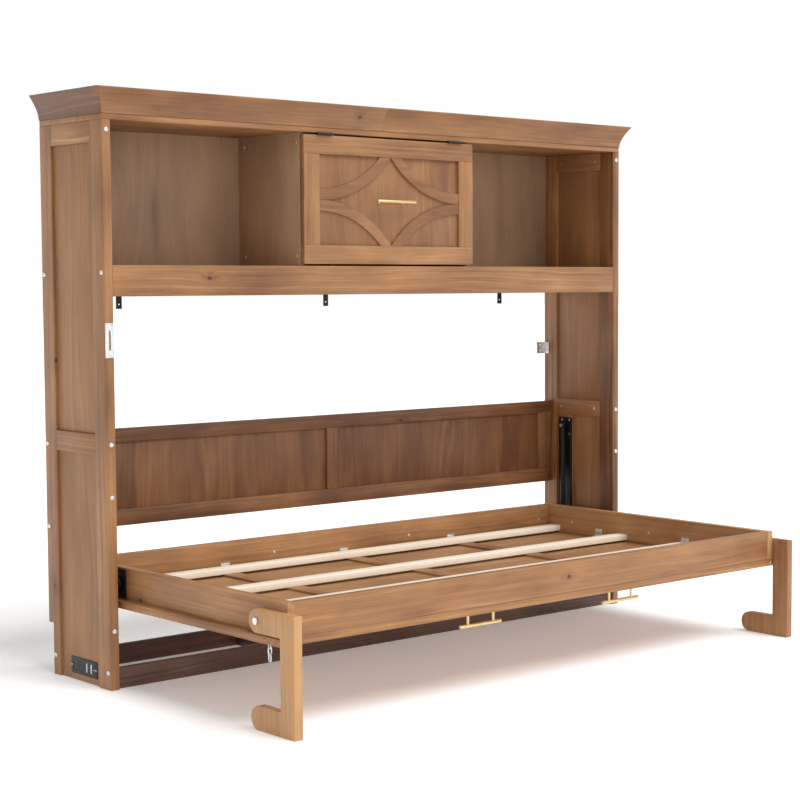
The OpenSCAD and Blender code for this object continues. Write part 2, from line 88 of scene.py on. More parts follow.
def add(
    tree: bpy.types.NodeTree,
    kind: str,
    values: dict[str | int, Any] | None = None,
    links: dict[str | int, Socket] | None = None,
) -> bpy.types.Node:
    """Adds one shader node with its settings and its links.

    Args:
        tree: The node tree.
        kind: The node's type after "ShaderNode".
        values: Properties by their lower-case name, and inputs by name or number.
        links: The sockets that feed its inputs, by the input's name or number.

    Returns:
        The new node.
    """
    node = tree.nodes.new("ShaderNode" + kind)
    for key, value in (values or {}).items():
        if isinstance(key, str) and key.islower():
            setattr(node, key, value)
        else:
            node.inputs[key].default_value = value
    for key, socket in (links or {}).items():
        tree.links.new(socket, node.inputs[key])
    return node


def ramp(tree: bpy.types.NodeTree, fac: Socket, stops: list[tuple[float, str]]) -> Socket:
    """Colours a value between hex stops.

    Args:
        tree: The node tree.
        fac: The value, from 0 to 1.
        stops: Places from 0 to 1, each with its hex colour.

    Returns:
        The colour socket.
    """
    node = add(tree, "ValToRGB", links={"Fac": fac})
    marks = node.color_ramp.elements
    while len(marks) < len(stops):
        marks.new(0.5)
    for mark, (place, colour) in zip(marks, stops):
        mark.position = place
        mark.color = linear(colour)
    return node.outputs["Color"]


def shader(
    name: str, values: dict[str | int, Any]
) -> tuple[Material, bpy.types.NodeTree, bpy.types.Node]:
    """Makes a material with its Principled shader set.

    Args:
        name: The material's name.
        values: Inputs of the Principled shader.

    Returns:
        The material, its node tree and its Principled node.
    """
    material = bpy.data.materials.new(name)
    material.use_nodes = True
    tree = material.node_tree
    tree.nodes.clear()
    principled = add(tree, "BsdfPrincipled", values)
    add(tree, "OutputMaterial", links={"Surface": principled.outputs[0]})
    return material, tree, principled


# ---- finishes ----


@dataclass(frozen=True)
class Wood:
    """Stained or bare softwood and veneer, planed, sanded and lacquered.

    The eye gets uneven growth bands along the board that wander a little, fibre
    streaks, a slow drift of tone, and knots that the bands bend round.
    """

    name: str
    stops: tuple[str, str, str, str]
    band_mm: float = 14.0
    wander_mm: float = 26.0
    band: float = 0.55
    fibre: float = 0.48
    drift: float = 0.95
    knots: float = 0.0
    roughness: float = 0.50
    coat: float = 0.05

    def build(self) -> Material:
        """Makes the material from the board's grain and tone attributes.

        Returns:
            The material.
        """
        material, tree, out = shader(
            self.name, {"Coat Weight": self.coat, "Coat Roughness": 0.35, "IOR": 1.5}
        )
        grain = add(tree, "Attribute", {"attribute_name": "grain"}).outputs["Vector"]
        # The tone attribute is each board's own random tone plus its piece's painted light and painted
        # shade
        tone = add(tree, "Attribute", {"attribute_name": "tone"}).outputs["Fac"]

        def stretched(along: float, across: float) -> Socket:
            """Grain coordinates scaled by patterns per metre along and across."""
            scale = {1: (along, across, across)}
            return add(tree, "VectorMath", {"operation": "MULTIPLY", **scale}, {0: grain}).outputs[0]

        def sum_of(operation: str, a: Socket, b: Socket | float) -> Socket:
            """One sum on two values."""
            second = {1: b} if isinstance(b, float) else {}
            fed = {0: a} if isinstance(b, float) else {0: a, 1: b}
            return add(tree, "Math", {"operation": operation, **second}, fed).outputs[0]

        def noise(vector: Socket, detail: float, rough: float = 0.5) -> Socket:
            """Noise centred on zero."""
            values = {"Scale": 1.0, "Detail": detail, "Roughness": rough}
            cloud = add(tree, "TexNoise", values, {"Vector": vector})
            return sum_of("SUBTRACT", cloud.outputs["Fac"], 0.5)

        def fall(distance: Socket, near: float, far: float) -> Socket:
            """One up to the near distance, down to nothing at the far one."""
            spread = {1: near, 2: far, 3: 1.0, 4: 0.0, "interpolation_type": "SMOOTHSTEP"}
            return add(tree, "MapRange", spread, {0: distance}).outputs[0]

        # At most one knot in a cell 220 mm by 150 mm, where the cell's chance allows it
        flat = {"voronoi_dimensions": "2D", "Scale": 1.0}
        cells = add(tree, "TexVoronoi", flat, {"Vector": stretched(4.5, 6.8)})
        chance = add(tree, "SeparateColor", links={0: cells.outputs["Color"]}).outputs[0]
        has_knot = sum_of("LESS_THAN", chance, self.knots)
        bend = sum_of("MULTIPLY", fall(cells.outputs["Distance"], 0.02, 0.22), has_knot)
        core = sum_of("MULTIPLY", fall(cells.outputs["Distance"], 0.012, 0.055), has_knot)

        place = add(tree, "SeparateXYZ", links={0: grain}).outputs
        wander = sum_of("MULTIPLY", noise(stretched(1.6, 7.0), 2.0), 2 * self.wander_mm * MM)
        across = sum_of("ADD", sum_of("ADD", place[1], place[2]), wander)
        across = sum_of("ADD", across, sum_of("MULTIPLY", bend, 14 * MM))
        rings = add(
            tree,
            "TexNoise",
            {
                "noise_dimensions": "1D", "Scale": 1 / (self.band_mm * MM), "Detail": 2.0,
                "Roughness": 0.6,
            },
            {"W": across},
        )
        rings = sum_of("SUBTRACT", rings.outputs["Fac"], 0.5)
        clear = sum_of("ADD", sum_of("MULTIPLY", noise(stretched(2.0, 9.0), 1.0), 3.0), 0.9)
        rings = sum_of("MULTIPLY", sum_of("MULTIPLY", rings, clear), self.band)

        # Fibres are 5 mm wide here, many times the real ones, so that they show
        fibre = sum_of("MULTIPLY", noise(stretched(6.0, 210.0), 3.0, 0.65), self.fibre)
        drift = sum_of("MULTIPLY", noise(stretched(3.2, 8.0), 3.0), self.drift)
        shade = sum_of("ADD", sum_of("ADD", rings, fibre), sum_of("ADD", drift, tone))
        shade = sum_of("ADD", sum_of("SUBTRACT", shade, sum_of("MULTIPLY", bend, 0.16)), 0.5)
        marks = list(zip((0.08, 0.38, 0.62, 0.95), self.stops))
        knot = {"data_type": "RGBA", "blend_type": "MULTIPLY", 7: linear("#8E6A50")}
        colour = add(tree, "Mix", knot, {0: core, 6: ramp(tree, shade, marks)})
        tree.links.new(colour.outputs[2], out.inputs["Base Color"])
        gloss = sum_of("ADD", sum_of("MULTIPLY", fibre, 0.35), self.roughness)
        tree.links.new(gloss, out.inputs["Roughness"])
        bump = add(tree, "Bump", {"Strength": 0.35, "Distance": 0.25 * MM}, {"Height": fibre})
        tree.links.new(bump.outputs[0], out.inputs["Normal"])
        return material


@dataclass(frozen=True)
class Metal:
    """Bare or plated metal, brushed or tumbled.

    The eye gets a coloured reflection broken by fine scratches along one axis,
    and a faint change of tone from place to place.
    """

    name: str
    colour: str
    shade: str
    roughness: float
    scratch: tuple[float, float, float] = (60.0, 900.0, 900.0)
    anisotropic: float = 0.0

    def build(self) -> Material:
        """Makes the material on Object coordinates.

        Returns:
            The material.
        """
        material, tree, out = shader(self.name, {"Metallic": 1.0, "Anisotropic": self.anisotropic})
        place = add(tree, "TexCoord").outputs["Object"]
        lines = add(tree, "VectorMath", {"operation": "MULTIPLY", 1: self.scratch}, {0: place})
        brushed = add(tree, "TexNoise", {"Scale": 1.0, "Detail": 3.0}, {"Vector": lines.outputs[0]})
        # Patches about 6 mm across
        patch = add(tree, "TexNoise", {"Scale": 160.0, "Detail": 2.0}, {"Vector": place})
        colour = ramp(tree, patch.outputs["Fac"], [(0.3, self.shade), (0.7, self.colour)])
        tree.links.new(colour, out.inputs["Base Color"])
        spread = {1: 0.3, 2: 0.7, 3: self.roughness - 0.06, 4: self.roughness + 0.08}
        rough = add(tree, "MapRange", spread, {0: brushed.outputs["Fac"]})
        tree.links.new(rough.outputs[0], out.inputs["Roughness"])
        depth = {"Strength": 0.2, "Distance": 0.04 * MM}
        bump = add(tree, "Bump", depth, {"Height": brushed.outputs["Fac"]})
        tree.links.new(bump.outputs[0], out.inputs["Normal"])
        return material


@dataclass(frozen=True)
class Coated:
    """Powder-coated steel or moulded plastic.

    The eye gets a soft gloss over a fine pebbled skin with no grain direction.
    """

    name: str
    colour: str
    roughness: float
    pebble_mm: float
    depth_mm: float = 0.03
    emission: float = 0.0

    def build(self) -> Material:
        """Makes the material on Object coordinates.

        Returns:
            The material.
        """
        values = {"Roughness": self.roughness, "IOR": 1.5}
        if self.emission:
            values |= {"Emission Color": linear(self.colour), "Emission Strength": self.emission}
        material, tree, out = shader(self.name, values)
        place = add(tree, "TexCoord").outputs["Object"]
        pebbles = {"Scale": 1 / (self.pebble_mm * MM), "Detail": 2.0}
        skin = add(tree, "TexNoise", pebbles, {"Vector": place})
        # Patches about 40 mm across
        patch = add(tree, "TexNoise", {"Scale": 25.0, "Detail": 2.0}, {"Vector": place})
        spread = {1: 0.3, 2: 0.7, 3: 0.88, 4: 1.14}
        tone = add(tree, "MapRange", spread, {0: patch.outputs["Fac"]})
        tint = add(tree, "HueSaturation", {"Color": linear(self.colour)}, {"Value": tone.outputs[0]})
        tree.links.new(tint.outputs[0], out.inputs["Base Color"])
        depth = {"Strength": 0.3, "Distance": self.depth_mm * MM}
        bump = add(tree, "Bump", depth, {"Height": skin.outputs["Fac"]})
        tree.links.new(bump.outputs[0], out.inputs["Normal"])
        return material


class Finish(Enum):
    """The finishes of the bed."""

    WALNUT = "walnut"
    PANEL_PLY = "panel_ply"
    HUTCH_PLY = "hutch_ply"
    ESPRESSO = "espresso"
    PINE = "pine"
    BRASS = "brass"
    ZINC = "zinc"
    BLACK_STEEL = "black_steel"
    PLASTIC = "plastic"
    SOCKET = "socket"
    PORT_WHITE = "port_white"
    PILOT_LIGHT = "pilot_light"


RECIPES: dict[Finish, Wood | Metal | Coated] = {
    # Pine under a brown walnut stain and satin lacquer
    Finish.WALNUT: Wood("stained_pine", ("#6A4329", "#8F623D", "#A7774B", "#C59664"), knots=0.11),
    # Rotary-cut veneer on plywood: wide bands that wander far, no knots
    Finish.PANEL_PLY: Wood(
        "stained_plywood", ("#6A4329", "#8E613D", "#A2744A", "#B98C5C"), band_mm=34.0, wander_mm=90.0,
        band=0.42, fibre=0.34, drift=0.8,
    ),
    # The same plywood under a greyer stain, its colours also made lighter: painted light standing in
    # for the light that falls into the hutch
    Finish.HUTCH_PLY: Wood(
        "hutch_plywood", ("#81664E", "#A18267", "#B49172", "#C8A687"), band_mm=32.0, wander_mm=90.0,
        band=0.4, fibre=0.35, drift=0.7,
    ),
    Finish.ESPRESSO: Wood("espresso_pine", ("#3C2820", "#573D31", "#6B4E3F", "#856552"), band=0.6),
    Finish.PINE: Wood(
        "bare_pine", ("#EAD8BF", "#F6E8D2", "#FBF1E0", "#FFF9EE"), band_mm=9.0, wander_mm=8.0,
        band=0.7, fibre=0.6, drift=0.7, knots=0.08, roughness=0.6, coat=0.0,
    ),
    Finish.BRASS: Metal("brushed_brass", "#F4DCAA", "#E2C48C", 0.36, anisotropic=0.4),
    Finish.ZINC: Metal("zinc_plate", "#F3F5F7", "#DADDE1", 0.38, scratch=(500.0, 500.0, 500.0)),
    Finish.BLACK_STEEL: Coated("powder_coated_steel", "#0D0D0E", 0.50, 0.9),
    Finish.PLASTIC: Coated("moulded_black_plastic", "#17171A", 0.42, 0.5),
    Finish.SOCKET: Coated("socket_plastic", "#26262B", 0.36, 0.5),
    Finish.PORT_WHITE: Coated("port_plastic", "#E9ECEF", 0.38, 0.5),
    Finish.PILOT_LIGHT: Coated("pilot_light", "#DDE8FF", 0.3, 0.5, emission=0.6),
}


class Paint:
    """Builds each finish once and dresses pieces with it."""

    def __init__(self) -> None:
        """Starts with no materials made."""
        self.made: dict[Finish, Material] = {}

    def dress(self, piece: Piece, finish: Finish) -> None:
        """Gives a piece one finish all over.

        Args:
            piece: The piece.
            finish: Its finish.
        """
        if finish not in self.made:
            self.made[finish] = RECIPES[finish].build()
        piece.data.materials.clear()
        piece.data.materials.append(self.made[finish])


paint = Paint()


# ---- mesh helpers ----


def only(piece: Piece) -> None:
    """Deselects everything, then selects one object and makes it active."""
    bpy.ops.object.select_all(action="DESELECT")
    piece.select_set(True)
    bpy.context.view_layer.objects.active = piece


def settle(piece: Piece, angle: float = 30.0) -> Piece:
    """Puts a piece's place into its mesh and smooths what curves.

    Args:
        piece: The finished object.
        angle: Edges sharper than this stay sharp, in degrees.

    Returns:
        The same object.
    """
    only(piece)
    bpy.ops.object.transform_apply(location=True, rotation=True, scale=True)
    bpy.ops.object.shade_smooth_by_angle(angle=math.radians(angle))
    return piece


def ease(piece: Piece, width: float, segments: int = 2, angle: float = 35.0) -> None:
    """Rounds the sharp edges of a piece with a bevel and applies it.

    Args:
        piece: The object.
        width: The bevel's width in metres.
        segments: Steps across the bevel.
        angle: Only edges sharper than this are rounded, in degrees.
    """
    only(piece)
    bevel = piece.modifiers.new("eased", "BEVEL")
    bevel.width = width
    bevel.segments = segments
    bevel.limit_method = "ANGLE"
    bevel.angle_limit = math.radians(angle)
    bevel.use_clamp_overlap = True
    bpy.ops.object.modifier_apply(modifier=bevel.name)


def join(name: str, parts: list[Piece]) -> Piece:
    """Joins parts into one named object.

    Args:
        name: The name of the whole.
        parts: The objects to join.

    Returns:
        The joined object.
    """
    bpy.ops.object.select_all(action="DESELECT")
    for part in parts:
        part.select_set(True)
    bpy.context.view_layer.objects.active = parts[0]
    if len(parts) > 1:
        bpy.ops.object.join()
    whole = bpy.context.view_layer.objects.active
    whole.name = name
    whole.data.name = name
    return whole


def copy_at(master: Piece, matrix: Matrix) -> Piece:
    """Copies a piece with its own mesh, moved by a matrix that is put into the mesh.

    Args:
        master: The piece to copy.
        matrix: Where the copy goes.

    Returns:
        The copy.
    """
    twin = bpy.data.objects.new(master.name, master.data.copy())
    bpy.context.scene.collection.objects.link(twin)
    twin.data.transform(matrix)
    return twin


def drum(
    radius: float, depth: float, place: Vector, axis: str, sides: int = 32, rim: float = 0.0
) -> Piece:
    """A turned disc or bar with a rounded rim.

    Args:
        radius: Radius in metres.
        depth: Length along the axis in metres.
        place: Its middle.
        axis: The axis it lies along: X, Y or Z.
        sides: Facets round it.
        rim: Bevel of its two rims in metres.

    Returns:
        The new object.
    """
    turn = {"X": (0, math.pi / 2, 0), "Y": (math.pi / 2, 0, 0), "Z": (0, 0, 0)}[axis]
    bpy.ops.object.select_all(action="DESELECT")
    bpy.ops.mesh.primitive_cylinder_add(
        vertices=sides, radius=radius, depth=depth, location=place, rotation=turn
    )
    piece = bpy.context.object
    only(piece)
    bpy.ops.object.transform_apply(location=True, rotation=True, scale=True)
    if rim:
        ease(piece, rim, 3, 60.0)
    return piece


def block(low: Vector, high: Vector, rim: float, segments: int = 2) -> Piece:
    """A rounded block between two corners.

    Args:
        low: The lowest corner.
        high: The highest corner.
        rim: Width of its eased edges in metres.
        segments: Steps across each edge.

    Returns:
        The new object.
    """
    bpy.ops.object.select_all(action="DESELECT")
    bpy.ops.mesh.primitive_cube_add(size=1.0, location=(low + high) / 2)
    piece = bpy.context.object
    piece.scale = high - low
    only(piece)
    bpy.ops.object.transform_apply(location=True, rotation=True, scale=True)
    if rim:
        ease(piece, rim, segments)
    return piece


def cut(piece: Piece, cutter: Piece) -> None:
    """Cuts one closed shape out of another and removes the cutter.

    Args:
        piece: The object that is cut.
        cutter: The shape that is taken out of it.
    """
    only(piece)
    difference = piece.modifiers.new("cut", "BOOLEAN")
    difference.operation = "DIFFERENCE"
    difference.solver = "EXACT"
    difference.object = cutter
    bpy.ops.object.modifier_apply(modifier=difference.name)
    bpy.data.objects.remove(cutter)


def from_cad(node: str, name: str) -> Piece:
    """Copies a CAD node's mesh as a new piece, with its triangles merged into faces.

    Args:
        node: The CAD node.
        name: The new piece's name.

    Returns:
        The new object, at the origin.
    """
    source = frame["nodes"][node]
    piece = bpy.data.objects.new(name, source.data.copy())
    piece.data.name = name
    bpy.context.scene.collection.objects.link(piece)
    only(piece)
    bpy.ops.object.mode_set(mode="EDIT")
    bpy.ops.mesh.select_all(action="SELECT")
    bpy.ops.mesh.remove_doubles(threshold=0.01 * MM)
    bpy.ops.mesh.dissolve_limited(angle_limit=math.radians(0.5))
    bpy.ops.object.mode_set(mode="OBJECT")
    return piece


def stand_in(piece: Piece, finish: Finish, *nodes: str) -> Piece:
    """Finishes a piece, puts it on its nodes' body and lets it replace them.

    Args:
        piece: The piece.
        finish: Its finish.
        nodes: The CAD nodes that it stands for.

    Returns:
        The same piece.
    """
    paint.dress(piece, finish)
    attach(piece, BODY_OF[nodes[0]])
    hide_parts(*nodes)
    log.info("%s: %d faces on %s", piece.name, len(piece.data.polygons), BODY_OF[nodes[0]])
    return piece


def alongside(piece: Piece, finish: Finish, body: str) -> Piece:
    """Finishes an extra piece that replaces nothing and puts it on a body.

    Args:
        piece: The piece.
        finish: Its finish.
        body: The body that it rides on.

    Returns:
        The same piece.
    """
    paint.dress(piece, finish)
    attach(piece, body)
    log.info("%s: %d faces on %s", piece.name, len(piece.data.polygons), body)
    return piece


# ---- wood ----


class Grain(Enum):
    """Which way a board's fibres run."""

    X = 0
    Y = 1
    Z = 2


def islands(mesh: bmesh.types.BMesh) -> list[list[bmesh.types.BMVert]]:
    """Groups a mesh's vertices into its separate solids.

    Args:
        mesh: The mesh, with its vertices numbered.

    Returns:
        The vertices of each solid.
    """
    seen: set[int] = set()
    groups = []
    for start in mesh.verts:
        if start.index in seen:
            continue
        seen.add(start.index)
        group = [start]
        for vert in group:
            for edge in vert.link_edges:
                other = edge.other_vert(vert)
                if other.index not in seen:
                    seen.add(other.index)
                    group.append(other)
        groups.append(group)
    return groups


def give_grain(piece: Piece, grain: Grain, spread: float, painted_light_and_tone: float) -> None:
    """Writes each board's grain coordinates and tone as attributes; the tone carries the piece's
    painted light and painted shade.

    Args:
        piece: The finished wooden piece.
        grain: The direction of its fibres.
        spread: How far boards may differ in tone.
        painted_light_and_tone: How much lighter than the finish the whole piece is: painted light above
            zero and painted shade below zero, except on the door, where it is the wood's own tone.
    """
    shape = bmesh.new()
    shape.from_mesh(piece.data)
    shape.verts.index_update()
    along_key = shape.verts.layers.float_vector.new("grain")
    tone_key = shape.verts.layers.float.new("tone")
    dice = random.Random(piece.name)
    for group in islands(shape):
        low = Vector(min(v.co[i] for v in group) for i in range(3))
        high = Vector(max(v.co[i] for v in group) for i in range(3))
        size = high - low
        order = sorted(range(3), key=lambda i: -size[i])
        along = grain.value
        others = [i for i in order if i != along]
        shift = Vector((dice.uniform(0, 9), dice.uniform(0, 9), dice.uniform(0, 9)))
        tone = painted_light_and_tone + dice.uniform(-spread, spread)
        for vert in group:
            local = vert.co - low
            vert[along_key] = Vector((local[along], local[others[0]], local[others[1]])) + shift
            vert[tone_key] = tone
    shape.to_mesh(piece.data)
    shape.free()


@dataclass
class Joinery:
    """Boards of one finish, cut as their CAD nodes with their edges eased."""

    finish: Finish
    nodes: dict[str, Grain]
    edge_mm: float = 1.4
    spread: float = 0.07
    # A shift of the whole piece's tone: painted light above zero, painted shade below zero; on the door
    # it is the wood's own tone
    painted_light_and_tone: float = 0.0

    def build(self) -> None:
        """Makes one piece for each node and replaces the node with it."""
        for node, grain in self.nodes.items():
            piece = from_cad(node, node + "_boards")
            ease(piece, self.edge_mm * MM)
            settle(piece)
            give_grain(piece, grain, self.spread, self.painted_light_and_tone)
            stand_in(piece, self.finish, node)


# ---- hardware ----


@dataclass
class Screws:
    """Domed screw and bolt heads, one shape copied to each place."""

    radius_mm: float
    height_mm: float
    recess_mm: float
    recess_sides: int = 6

    def master(self) -> Piece:
        """One head that stands on the origin and points along +Z.

        Returns:
            The head.
        """
        height = self.height_mm * MM
        head = drum(self.radius_mm * MM, height, Vector((0, 0, height / 2)), "Z", 28)
        bpy.ops.object.mode_set(mode="EDIT")
        bpy.ops.mesh.select_all(action="DESELECT")
        bpy.ops.object.mode_set(mode="OBJECT")
        for edge in head.data.edges:
            edge.select = all(head.data.vertices[v].co.z > height * 0.9 for v in edge.vertices)
        bpy.ops.object.mode_set(mode="EDIT")
        bpy.ops.mesh.bevel(offset=height * 0.75, segments=5, affect="EDGES")
        bpy.ops.object.mode_set(mode="OBJECT")
        cut(head, drum(self.recess_mm * MM, height, Vector((0, 0, height)), "Z", self.recess_sides))
        return settle(head)

    def place(self, name: str, spots: list[tuple[Vector, Vector]]) -> Piece:
        """Copies the head to each spot and joins them.

        Args:
            name: The piece's name.
            spots: The seat of each head and the direction it points.

        Returns:
            The joined piece.
        """
        master = self.master()
        heads = []
        for seat, out in spots:
            turn = Vector((0, 0, 1)).rotation_difference(out).to_matrix().to_4x4()
            heads.append(copy_at(master, Matrix.Translation(seat) @ turn))
        bpy.data.objects.remove(master)
        return join(name, heads)


def island_boxes(node: str) -> list[tuple[Vector, Vector]]:
    """Finds the separate solids of a CAD node, in order of place.

    Args:
        node: The CAD node.

    Returns:
        The lowest and highest corner of each solid.
    """
    shape = bmesh.new()
    shape.from_mesh(frame["nodes"][node].data)
    bmesh.ops.remove_doubles(shape, verts=shape.verts[:], dist=0.01 * MM)
    shape.verts.index_update()
    boxes = []
    for group in islands(shape):
        low = Vector(min(v.co[i] for v in group) for i in range(3))
        high = Vector(max(v.co[i] for v in group) for i in range(3))
        boxes.append((low, high))
    shape.free()
    return sorted(boxes, key=lambda b: tuple(round(c, 4) for c in b[0]))


def head_spots(node: str) -> list[tuple[Vector, Vector, float]]:
    """Where the heads of a CAD node sit, and which way each one points.

    Heads along X point at the middle of the bed when they are on an inner face,
    which is between 0.9 m and 1.04 m out, and away from it anywhere else.

    Args:
        node: A node whose solids are round heads.

    Returns:
        The seat, direction and radius of each head.
    """
    spots = []
    for low, high in island_boxes(node):
        size = high - low
        middle = (low + high) / 2
        thin = min(range(3), key=lambda i: size[i])
        out = Vector((0, 0, 0))
        side = math.copysign(1, middle.x)
        out[thin] = -1.0 if thin != 0 else (-side if 0.9 < abs(middle.x) < 1.04 else side)
        spots.append((middle - out * size[thin] / 2, out, max(size) / 2))
    return spots


@dataclass
class BarPull:
    """Brushed bar pull: a rounded bar on two collared posts."""

    length_mm: float = 158.0
    radius_mm: float = 5.5
    post_mm: float = 49.0
    post_radius_mm: float = 4.0
    collar_radius_mm: float = 6.4
    collar_mm: float = 3.0
    standoff_mm: float = 34.5

    def master(self) -> Piece:
        """The pull on a face at Y 0 that looks towards -Y, centred on the origin.

        Returns:
            The pull.
        """
        bar_y = -self.standoff_mm * MM
        bar_end = 1.6 * MM
        bar = drum(self.radius_mm * MM, self.length_mm * MM, Vector((0, bar_y, 0)), "X", 32, bar_end)
        parts = [bar]
        for x in (-self.post_mm * MM, self.post_mm * MM):
            parts.append(drum(self.post_radius_mm * MM, -bar_y, Vector((x, bar_y / 2, 0)), "Y", 24))
            seat = Vector((x, -self.collar_mm * MM / 2, 0))
            parts.append(drum(self.collar_radius_mm * MM, self.collar_mm * MM, seat, "Y", 28, 0.8 * MM))
        return settle(join("pull", parts))

    def build(self) -> None:
        """Puts one pull on the door and two under the bed's panel."""
        master = self.master()
        low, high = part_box("door_pull")
        spot = Vector(((low.x + high.x) / 2, high.y, (low.z + high.z) / 2))
        door = join("door_bar_pull", [copy_at(master, Matrix.Translation(spot))])
        stand_in(door, Finish.BRASS, "door_pull")
        down = Matrix.Rotation(math.pi / 2, 4, "X")
        copies = []
        for low, high in island_boxes("panel_pulls"):
            spot = Vector(((low.x + high.x) / 2, (low.y + high.y) / 2, high.z))
            copies.append(copy_at(master, Matrix.Translation(spot) @ down))
        stand_in(join("panel_bar_pulls", copies), Finish.BRASS, "panel_pulls")
        bpy.data.objects.remove(master)


@dataclass
class Outlet:
    """Outlet plate low on the left side: two sockets, two ports and a pilot light."""

    plate_mm: float = 3.0
    screw_mm: float = 5.0
    pilot_mm: float = 15.0
    slots: tuple[tuple[float, float], ...] = ((-6.2, 8.0), (6.2, 6.6))
    widest_port_mm: float = 20.0

    def build(self) -> None:
        """Makes the plate, the socket faces with their slots, and the ports."""
        low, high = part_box("outlet_plate")
        face = low.x
        level = (low.z + high.z) / 2
        back = face + self.plate_mm * MM
        wells = island_boxes("outlet_sockets")
        plate = block(low, Vector((back, high.y, high.z)), 1.2 * MM, 3)
        for a, b in wells:
            cut(plate, block(Vector((face - 1 * MM, a.y, a.z)), Vector((face + 4 * MM, b.y, b.z)), 0.0))
        body_low = Vector((back, low.y + 11 * MM, low.z + 6 * MM))
        body_high = Vector((high.x, high.y - 11 * MM, high.z - 6 * MM))
        body = block(body_low, body_high, 1.0 * MM)
        stand_in(settle(join("outlet_cover", [plate, body])), Finish.PLASTIC, "outlet_plate")
        sockets, whites = [], []
        for a, b in sorted(wells, key=lambda w: -w[0].y):
            front_low = Vector((face + 0.6 * MM, a.y + 0.3 * MM, a.z + 0.3 * MM))
            front_high = Vector((face + 3.4 * MM, b.y - 0.3 * MM, b.z - 0.3 * MM))
            front = block(front_low, front_high, 0.5 * MM)
            middle = (a + b) / 2
            if b.y - a.y > self.widest_port_mm * MM:
                for dy, tall in self.slots:
                    near, far = middle.y + (dy - 1.1) * MM, middle.y + (dy + 1.1) * MM
                    slot_low = Vector((face - 1 * MM, near, middle.z + 1 * MM))
                    slot_high = Vector((face + 2.4 * MM, far, middle.z + (1 + tall) * MM))
                    cut(front, block(slot_low, slot_high, 0.0))
                earth = Vector((face + 0.4 * MM, middle.y, middle.z - 7 * MM))
                cut(front, drum(2.4 * MM, 4 * MM, earth, "X", 20))
                sockets.append(front)
            else:
                whites.append(front)
        stand_in(settle(join("outlet_faces", sockets)), Finish.SOCKET, "outlet_sockets")
        alongside(settle(join("outlet_ports", whites)), Finish.PORT_WHITE, "cabinet")
        spot = Vector((face - 0.1 * MM, low.y + self.pilot_mm * MM, level))
        light = drum(1.6 * MM, 1.2 * MM, spot, "X", 20, 0.4 * MM)
        alongside(settle(join("outlet_pilot", [light])), Finish.PILOT_LIGHT, "cabinet")
        rows = (low.y + self.screw_mm * MM, high.y - self.screw_mm * MM)
        ends = [(Vector((face, y, level)), Vector((-1, 0, 0))) for y in rows]
        alongside(Screws(2.6, 1.0, 0.9, 4).place("outlet_screws", ends), Finish.ZINC, "cabinet")


@dataclass
class Chain:
    """Short welded chain that hangs from a screw eye under the panel."""

    wire_mm: float = 1.6
    half_width_mm: float = 5.0

    def build(self) -> None:
        """Makes the links, each link a ring drawn out along its length."""
        links = []
        for number, (low, high) in enumerate(sorted(island_boxes("leg_chain"), key=lambda b: -b[0].z)):
            middle = (low + high) / 2
            stretch = (high.z - low.z) / 2 - (self.half_width_mm + self.wire_mm) * MM
            faces_front = high.x - low.x > high.y - low.y
            turn = (math.pi / 2, 0, 0 if faces_front else math.pi / 2)
            bpy.ops.object.select_all(action="DESELECT")
            bpy.ops.mesh.primitive_torus_add(
                major_segments=32, minor_segments=14, major_radius=self.half_width_mm * MM,
                minor_radius=self.wire_mm * MM, location=middle, rotation=turn,
            )
            ring = bpy.context.object
            only(ring)
            bpy.ops.object.transform_apply(location=True, rotation=True, scale=True)
            for vert in ring.data.vertices:
                rise = vert.co.z - middle.z
                vert.co.z += math.copysign(stretch, rise) if abs(rise) > 1e-7 else 0.0
            ring.name = f"link_{number}"
            links.append(ring)
        stand_in(settle(join("hanging_chain", links)), Finish.ZINC, "leg_chain")


